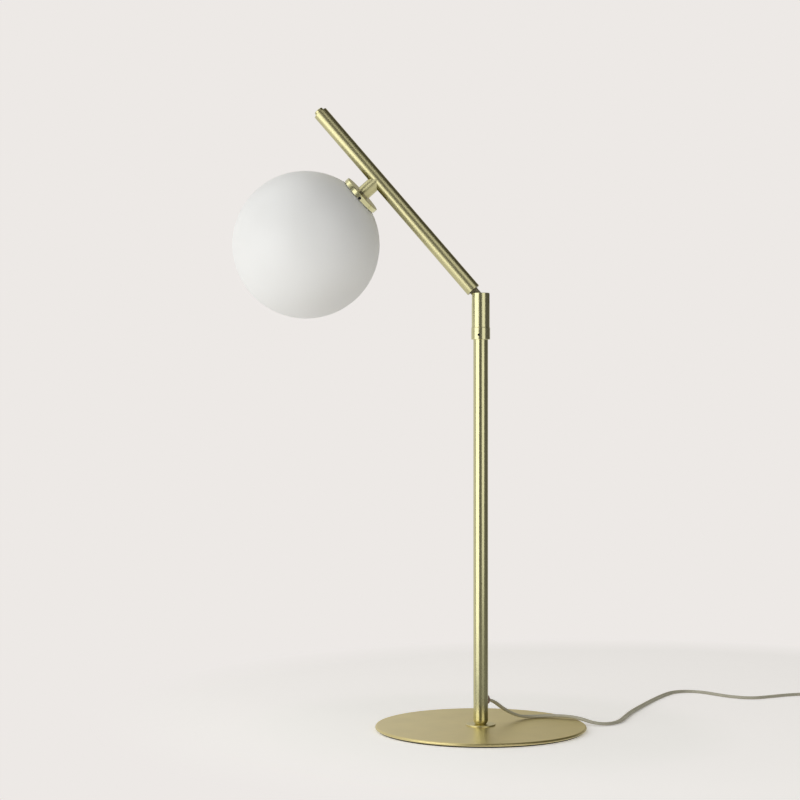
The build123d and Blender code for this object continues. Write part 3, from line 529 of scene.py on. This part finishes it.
# ---------------------------------------------------------------- pad under the base
def foam():
    """Black cell rubber: a fine net of pores in a matt skin."""
    material, nodes, links, shader = new_material("cell_rubber")
    coordinates = nodes.new("ShaderNodeTexCoord")
    pores = nodes.new("ShaderNodeTexVoronoi")
    pores.inputs["Scale"].default_value = pore_density
    links.new(coordinates.outputs["Object"], pores.inputs["Vector"])
    depth = pores.outputs["Distance"]
    black = shades(nodes, links, depth, (0.012, 0.012, 0.012), (0.035, 0.034, 0.033))
    links.new(black, shader.inputs["Base Color"])
    links.new(bump(nodes, links, depth, pore_depth, pore_strength), shader.inputs["Normal"])
    shader.inputs["Roughness"].default_value = pad_roughness
    return material


pad_profile = (
    [(0.0, 0.0)]
    + arc((pad_radius - pad_edge, pad_edge), pad_edge, -90, 0, pad_edge_steps)
    + arc((pad_radius - pad_edge, pad_thickness - pad_edge), pad_edge, 0, 90, pad_edge_steps)
    + [(0.0, pad_thickness)]
)
pad_mesh = lathe("cell_pad", pad_profile, Vector((0, 0, 0)), up, Vector((1, 0, 0)), pad_segments)
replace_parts(new_piece("cell_pad", pad_mesh, "stand", foam()), "base_pad")

# ---------------------------------------------------------------- finish of the kept solids
finishes = {
    "base_plate": base_brass,
    "foot_flange": foot_brass,
    "pole_foot": foot_brass,
    "pole_tube": pole_brass,
    "lock_ring": turned_brass,
    "swivel_head": turned_brass,
    # arm, end knob and stub take the darker brass, painted shade
    "arm_tube": shaded_arm_brass,
    "end_knob": shaded_arm_brass,
    "tee_stub": shaded_arm_brass,
    "lock_screw": black_steel,
    "holder_screws": black_steel,
    # the stub's spacer and the arm's tongue are dark metal as painted shade
    "stub_spacer": dark_shade_metal,
    "holder_cup": turned_brass,
    "arm_tongue": dark_shade_metal,
    "pole_bush": dark_shade_metal,
    "cord_grommet": grommet_rubber,
    "cord_clamp": pale_plastic,
    "hinge_washers": pale_plastic,
    "neck_gasket": pale_plastic,
    "lampholder": pale_plastic,
    "pole_lead": pale_plastic,
    "arm_lead": pale_plastic,
    "coil_tie": tie_plastic,
    "switch_base": switch_plastic,
    "switch_cover": switch_plastic,
    "switch_rocker": switch_plastic,
    "plug_body": switch_plastic,
    "plug_pins": nickel,
    "bulb_pins": nickel,
    "glass_globe": opal,
    "bulb": opal,
}


def dress(nodes, materials, other):
    """Give each kept solid its own finish."""
    for name, node in nodes.items():
        node.data.materials.clear()
        node.data.materials.append(materials.get(name, other))


dress(frame["nodes"], finishes, screw_steel)

# ---------------------------------------------------------------- floor
floor_centre = (0.17, 0.13, 0.0)
floor_radius = 0.56
floor_sides = 96
paper_tone = (0.847, 0.815, 0.791)
paper_colour = (0.83, 0.80, 0.77)
paper_gain = (1.70, 1.76, 1.77)
paper_roughness = 0.9
paper_sheen = 0.1
lamp_stops = [(0.13, 0.0), (0.25, 0.6)]
rim_stops = [(0.36, 0.3), (0.55, 1.0)]


def seen_ray(nodes, links):
    """1 for rays from the camera or through glass, and 0 for the light that falls on the paper."""
    path = nodes.new("ShaderNodeLightPath")
    camera_ray = path.outputs["Is Camera Ray"]
    return combined(nodes, links, "MAXIMUM", camera_ray, path.outputs["Is Transmission Ray"])


def distance_ramp(nodes, links, place, centre, stops):
    """A value that follows stops of (distance, value) with the distance from a centre."""
    distance = nodes.new("ShaderNodeVectorMath")
    distance.operation = "DISTANCE"
    distance.inputs[1].default_value = centre
    links.new(place, distance.inputs[0])
    ramp = nodes.new("ShaderNodeValToRGB")
    for element, (reach, amount) in zip(ramp.color_ramp.elements, stops):
        element.position = reach / floor_radius
        element.color = (amount, amount, amount, 1)
    share = combined(nodes, links, "DIVIDE", distance.outputs["Value"], floor_radius)
    links.new(share, ramp.inputs["Fac"])
    return ramp.outputs["Color"]


def paper_fade(nodes, links):
    """How far the paper has faded into the background: little near the lamp and all at the rim."""
    place = nodes.new("ShaderNodeNewGeometry").outputs["Position"]
    near_lamp = distance_ramp(nodes, links, place, (0, 0, 0), lamp_stops)
    near_rim = distance_ramp(nodes, links, place, floor_centre, rim_stops)
    return combined(nodes, links, "MAXIMUM", near_lamp, near_rim)


def floor_material():
    """Pale paper with the lamp's shadow, which fades to the background and lets mirrored rays through."""
    material, nodes, links, shader = new_material("floor_paper")
    shader.inputs["Base Color"].default_value = (*paper_colour, 1)
    shader.inputs["Roughness"].default_value = paper_roughness
    shader.inputs["Specular IOR Level"].default_value = paper_sheen
    lit = nodes.new("ShaderNodeBsdfDiffuse")
    lit.inputs["Color"].default_value = (*[tone * gain for tone, gain in zip(paper_tone, paper_gain)], 1)
    glow = nodes.new("ShaderNodeEmission")
    glow.inputs["Color"].default_value = (*paper_tone, 1)
    fade = paper_fade(nodes, links)
    seen = mixed(nodes, links, fade, lit.outputs["BSDF"], glow.outputs["Emission"])
    solid = mixed(nodes, links, seen_ray(nodes, links), shader.outputs["BSDF"], seen)
    mirrored = nodes.new("ShaderNodeLightPath").outputs["Is Glossy Ray"]
    clear = nodes.new("ShaderNodeBsdfTransparent").outputs["BSDF"]
    whole = mixed(nodes, links, mirrored, solid, clear)
    links.new(whole, nodes["Material Output"].inputs["Surface"])
    return material


def make_floor():
    """A round sheet of paper under the lamp, which fades into the background at its rim."""
    mesh = bpy.data.meshes.new("floor")
    turns = [2 * pi * step / floor_sides for step in range(floor_sides)]
    x, y, z = floor_centre
    rim = [(x + floor_radius * cos(turn), y + floor_radius * sin(turn), z) for turn in turns]
    mesh.from_pydata(rim, [], [tuple(range(floor_sides))])
    mesh.materials.append(floor_material())
    floor = bpy.data.objects.new("floor", mesh)
    bpy.context.collection.objects.link(floor)


make_floor()


# ---------------------------------------------------------------- light
def soft_box(name, turn, distance, height, aim_height, width, tall, radiance):
    """A soft box round the lamp: turn is its direction in degrees, 0 towards the camera and 90 right."""
    place = Vector((sin(radians(turn)) * distance, -cos(radians(turn)) * distance, height))
    lamp = bpy.data.lights.new(name, "AREA")
    lamp.shape = "RECTANGLE"
    lamp.size = width
    lamp.size_y = tall
    lamp.energy = radiance * pi * width * tall
    box = bpy.data.objects.new(name, lamp)
    box.location = place
    box.rotation_euler = (Vector((0, 0, aim_height)) - place).to_track_quat("-Z", "Y").to_euler()
    bpy.context.collection.objects.link(box)


soft_box(
    "left_box", turn=-55, distance=1.7, height=0.5, aim_height=0.42, width=1.7, tall=1.4, radiance=1.8
)
soft_box(
    "right_box", turn=34, distance=2.1, height=1.1, aim_height=0.5, width=1.6, tall=2.6, radiance=1.1
)
soft_box(
    "top_box", turn=-90, distance=0.9, height=2.2, aim_height=0.1, width=1.6, tall=1.6, radiance=1.3
)

# strengths of the studio's sides, and the directions between which each one fades in
dark_side = 0.13
light_side = 0.75
low_light = 0.88
side_slope = 0.5
side_edge = (0.25, 0.65)
low_edge = (-0.12, -0.35)

# upper right corner of the studio, which is dimmer and warmer than the rest
corner_share = 0.5
corner_foot = (0.04, 0.16)
corner_flank = (-0.06, 0.12)
studio_tint = (1.0, 0.985, 0.96)
corner_tint = (1.0, 0.93, 0.72)


def graded(nodes, links, value, edge, low, high):
    """A smooth change from one strength to another as a direction's value passes an edge."""
    shade = nodes.new("ShaderNodeMapRange")
    shade.interpolation_type = "SMOOTHSTEP"
    shade.inputs["From Min"].default_value = edge[0]
    shade.inputs["From Max"].default_value = edge[1]
    shade.inputs["To Min"].default_value = low
    shade.inputs["To Max"].default_value = high
    links.new(value, shade.inputs["Value"])
    return shade.outputs["Result"]


def studio_strength(nodes, links, parts):
    """How strong the studio's light is: much from behind, the left and below, little from the right."""
    slant = combined(nodes, links, "MULTIPLY", parts["X"], -side_slope)
    behind = combined(nodes, links, "ADD", slant, parts["Y"])
    side = graded(nodes, links, behind, side_edge, dark_side, light_side)
    low = graded(nodes, links, parts["Z"], low_edge, dark_side, low_light)
    return combined(nodes, links, "MAXIMUM", side, low)


def corner_amount(nodes, links, parts):
    """1 in the studio's upper right corner and 0 away from it."""
    above = graded(nodes, links, parts["Z"], corner_foot, 0.0, 1.0)
    rightward = graded(nodes, links, parts["X"], corner_flank, 0.0, 1.0)
    return combined(nodes, links, "MULTIPLY", above, rightward)


def studio_world():
    """A pale background to the camera, and a studio of light and dark sides to everything else."""
    world = bpy.data.worlds.new("studio")
    bpy.context.scene.world = world
    world.use_nodes = True
    nodes = world.node_tree.nodes
    links = world.node_tree.links
    split = nodes.new("ShaderNodeSeparateXYZ")
    links.new(nodes.new("ShaderNodeTexCoord").outputs["Generated"], split.inputs["Vector"])
    corner = corner_amount(nodes, links, split.outputs)
    dimming = spread(nodes, links, corner, 1.0, corner_share)
    strength = studio_strength(nodes, links, split.outputs)
    around = nodes["Background"]
    links.new(combined(nodes, links, "MULTIPLY", strength, dimming), around.inputs["Strength"])
    links.new(shades(nodes, links, corner, studio_tint, corner_tint), around.inputs["Color"])
    behind = nodes.new("ShaderNodeBackground")
    behind.inputs["Color"].default_value = (*paper_tone, 1)
    seen = nodes.new("ShaderNodeLightPath").outputs["Is Camera Ray"]
    whole = mixed(nodes, links, seen, around.outputs["Background"], behind.outputs["Background"])
    links.new(whole, nodes["World Output"].inputs["Surface"])


studio_world()

# ---------------------------------------------------------------- camera
view = bpy.data.cameras.new("view")
view.lens = camera_lens
view.sensor_width = film_width
camera = bpy.data.objects.new("view", view)
camera.location = camera_place
camera.rotation_euler = (pi / 2, 0, 0)
bpy.context.collection.objects.link(camera)
bpy.context.scene.camera = camera
bpy.context.scene.view_settings.view_transform = "Standard"
